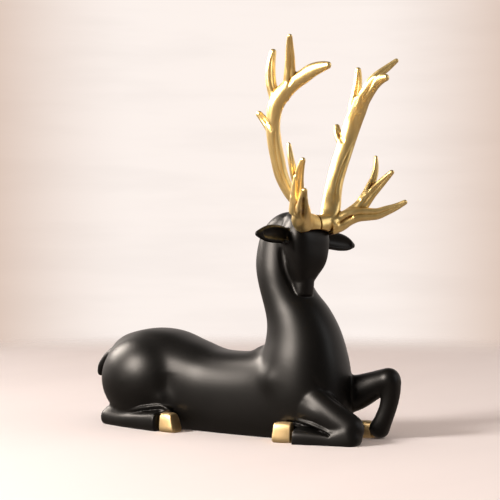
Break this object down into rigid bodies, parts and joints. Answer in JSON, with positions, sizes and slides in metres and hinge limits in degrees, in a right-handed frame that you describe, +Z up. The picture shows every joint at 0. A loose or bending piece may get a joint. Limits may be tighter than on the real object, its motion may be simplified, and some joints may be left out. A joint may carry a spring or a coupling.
{
  "type": "reindeer figurine",
  "caption": "Lying black reindeer figurine with its head bowed, tall branching gold antlers and gold hooves.",
  "frame": {"origin": "middle of the bounding box, on the ground that the figurine lies on", "axes": "+X towards the deer's front, +Y to the deer's left, +Z up"},
  "size_m": [0.216, 0.1012, 0.2355],
  "materials": {
    "black_lacquer": "satin black paint",
    "antique_gold": "satin metallic gold paint with darker hollows"
  },
  "bodies": {
    "root": {"body": "black_lacquer", "antler_left": "antique_gold", "antler_right": "antique_gold"}
  },
  "joints": []
}
